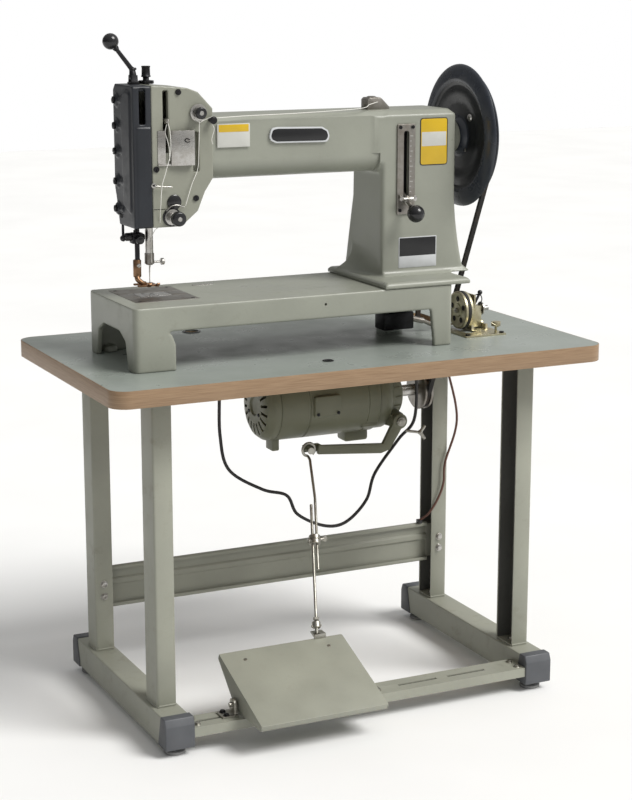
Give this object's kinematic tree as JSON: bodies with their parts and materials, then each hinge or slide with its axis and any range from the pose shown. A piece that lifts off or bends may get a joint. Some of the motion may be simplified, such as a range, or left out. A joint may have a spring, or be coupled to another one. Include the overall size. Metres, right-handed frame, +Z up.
{
  "type": "leather sewing machine",
  "caption": "Heavy flat-bed lockstitch machine on a clutch-motor table: long arm, face cover, large handwheel and belt, treadle, stitch lever and lifter.",
  "frame": {"origin": "on the floor, under the middle of the whole object's bounding box", "axes": "+X towards the handwheel end, -Y towards the operator, +Z up"},
  "size_m": [1.2, 0.7385, 1.5425],
  "materials": {
    "casting_paint": "semi-gloss enamel over cast iron",
    "cover_paint": "dark slate enamel, slightly worn",
    "wheel_paint": "near-black enamel",
    "stand_paint": "khaki-grey powder coat",
    "motor_paint": "olive-grey enamel",
    "laminate": "pale grey-green laminate",
    "board": "pressed board core",
    "edging": "tan edge banding",
    "cap_plastic": "moulded plastic",
    "steel": "machined, satin",
    "dark_steel": "blackened steel",
    "zinc": "zinc plated",
    "black_plastic": "polished black",
    "bronze": "worn bronze-coloured steel",
    "belt_rubber": "rubberised fabric",
    "cable_rubber": "flexible sheath",
    "rotor_steel": "machined",
    "label": "printed film, blank"
  },
  "bodies": {
    "machine": {"table_board": "board", "table_laminate": "laminate", "table_edging": "edging", "stand_columns": "stand_paint", "table_bearers": "stand_paint", "foot_bars": "stand_paint", "foot_caps": "cap_plastic", "levelling_feet": "cap_plastic", "rear_brace": "stand_paint", "treadle_rail": "stand_paint", "treadle_brackets": "zinc", "motor_body": "motor_paint", "motor_end_cover": "motor_paint", "clutch_housing": "motor_paint", "drive_belt": "belt_rubber", "bed_casting": "casting_paint", "needle_plate": "steel", "slide_plates": "dark_steel", "arm_casting": "casting_paint", "head_casting": "casting_paint", "face_cover": "cover_paint", "lifter_post": "dark_steel", "tension_discs": "steel", "thread_guides": "steel", "pivot_pins": "steel", "machine_screws": "dark_steel", "stitch_plate": "steel", "label_plates": "label", "oiler_cap": "dark_steel", "winder_base": "zinc", "motor_cable": "cable_rubber", "switch_box": "cap_plastic"},
    "treadle": {"treadle_plate": "stand_paint", "treadle_ball": "zinc"},
    "pitman": {"pitman_lower_rod": "zinc", "pitman_upper_rod": "zinc", "pitman_clamp": "zinc"},
    "clutch_lever": {"clutch_lever": "motor_paint"},
    "motor_rotor": {"motor_shaft": "rotor_steel", "motor_pulley": "rotor_steel"},
    "handwheel": {"handwheel": "wheel_paint", "main_shaft": "steel", "handwheel_screws": "zinc"},
    "hook": {"hook_shaft": "steel"},
    "feed": {"feed_dog": "steel"},
    "needle_bar": {"needle_bar": "steel", "needle": "steel"},
    "take_up": {"take_up_lever": "steel"},
    "presser": {"presser_bar": "dark_steel", "presser_guide_block": "dark_steel", "presser_foot": "bronze"},
    "lifter": {"presser_lifter": "black_plastic"},
    "adjuster": {"presser_adjuster": "dark_steel"},
    "upper_knob": {"upper_tension_knob": "black_plastic"},
    "lower_knob": {"lower_tension_knob": "black_plastic"},
    "stitch_lever": {"stitch_lever": "steel", "stitch_lever_ball": "black_plastic"},
    "winder_frame": {"winder_frame": "zinc"},
    "winder_wheel": {"winder_wheel": "zinc"}
  },
  "joints": [
    {"name": "handwheel_turn", "type": "hinge", "parent": "machine", "child": "handwheel", "pos_m": [0.399, 0.02425, 1.295], "axis": [1, 0, 0], "continuous": true},
    {"name": "motor_spin", "type": "hinge", "parent": "machine", "child": "motor_rotor", "pos_m": [0.399, 0.21725, 0.645], "axis": [1, 0, 0], "continuous": true},
    {"name": "hook_turn", "type": "hinge", "parent": "machine", "child": "hook", "pos_m": [-0.1, 0.02425, 0.93], "axis": [1, 0, 0], "continuous": true},
    {"name": "needle_stroke", "type": "slide", "parent": "machine", "child": "needle_bar", "axis": [0, 0, 1], "range_m": [-0.034, 0]},
    {"name": "take_up_swing", "type": "hinge", "parent": "machine", "child": "take_up", "pos_m": [-0.38, 0.02925, 1.356], "axis": [1, 0, 0], "range_deg": [0, 26.5]},
    {"name": "feed_stroke", "type": "slide", "parent": "machine", "child": "feed", "axis": [0, 1, 0], "range_m": [-0.004, 0]},
    {"name": "presser_lift", "type": "slide", "parent": "machine", "child": "presser", "axis": [0, 0, 1], "range_m": [-0.019, 0.008]},
    {"name": "lifter_swing", "type": "hinge", "parent": "machine", "child": "lifter", "pos_m": [-0.4235, 0.02425, 1.448], "axis": [0, 1, 0], "range_deg": [-14, 33]},
    {"name": "presser_adjust", "type": "slide", "parent": "machine", "child": "adjuster", "axis": [0, 0, 1], "range_m": [-0.006, 0.006]},
    {"name": "upper_knob_turn", "type": "hinge", "parent": "machine", "child": "upper_knob", "pos_m": [-0.306, -0.07175, 1.374], "axis": [0, 1, 0], "range_deg": [-180, 180]},
    {"name": "lower_knob_turn", "type": "hinge", "parent": "machine", "child": "lower_knob", "pos_m": [-0.37, -0.09475, 1.152], "axis": [0, 1, 0], "range_deg": [-180, 180]},
    {"name": "stitch_lever_swing", "type": "hinge", "parent": "machine", "child": "stitch_lever", "pos_m": [0.204, 0.06425, 1.24], "axis": [1, 0, 0], "range_deg": [-60, 0]},
    {"name": "treadle_rock", "type": "hinge", "parent": "machine", "child": "treadle", "pos_m": [-0.15, -0.23375, 0.085], "axis": [1, 0, 0], "range_deg": [-8, 3]},
    {"name": "pitman_swing", "type": "hinge", "parent": "treadle", "child": "pitman", "pos_m": [-0.052, -0.11575, 0.19], "axis": [1, 0, 0], "range_deg": [-4, 11]},
    {"name": "clutch_lever_swing", "type": "hinge", "parent": "machine", "child": "clutch_lever", "pos_m": [0.291, 0.12625, 0.592], "axis": [0, 1, 0], "range_deg": [-2.9, 1.1]},
    {"name": "winder_tilt", "type": "hinge", "parent": "machine", "child": "winder_frame", "pos_m": [0.424, 0.00025, 0.846], "axis": [1, 0, 0], "range_deg": [-8, 0]},
    {"name": "winder_spin", "type": "hinge", "parent": "winder_frame", "child": "winder_wheel", "pos_m": [0.388, 0.00025, 0.882], "axis": [1, 0, 0], "continuous": true}
  ],
  "couplings": [
    {"joint": "motor_spin", "follows": "handwheel_turn", "ratio": 3.4048},
    {"joint": "hook_turn", "follows": "handwheel_turn", "ratio": 1},
    {"joint": "take_up_swing", "follows": "needle_stroke", "rad_per_m": -12.32},
    {"joint": "feed_stroke", "follows": "needle_stroke", "ratio": 0.1},
    {"joint": "lifter_swing", "follows": "presser_lift", "rad_per_m": -30},
    {"joint": "pitman_swing", "follows": "treadle_rock", "ratio": -1.254},
    {"joint": "clutch_lever_swing", "follows": "treadle_rock", "ratio": 0.35}
  ]
}
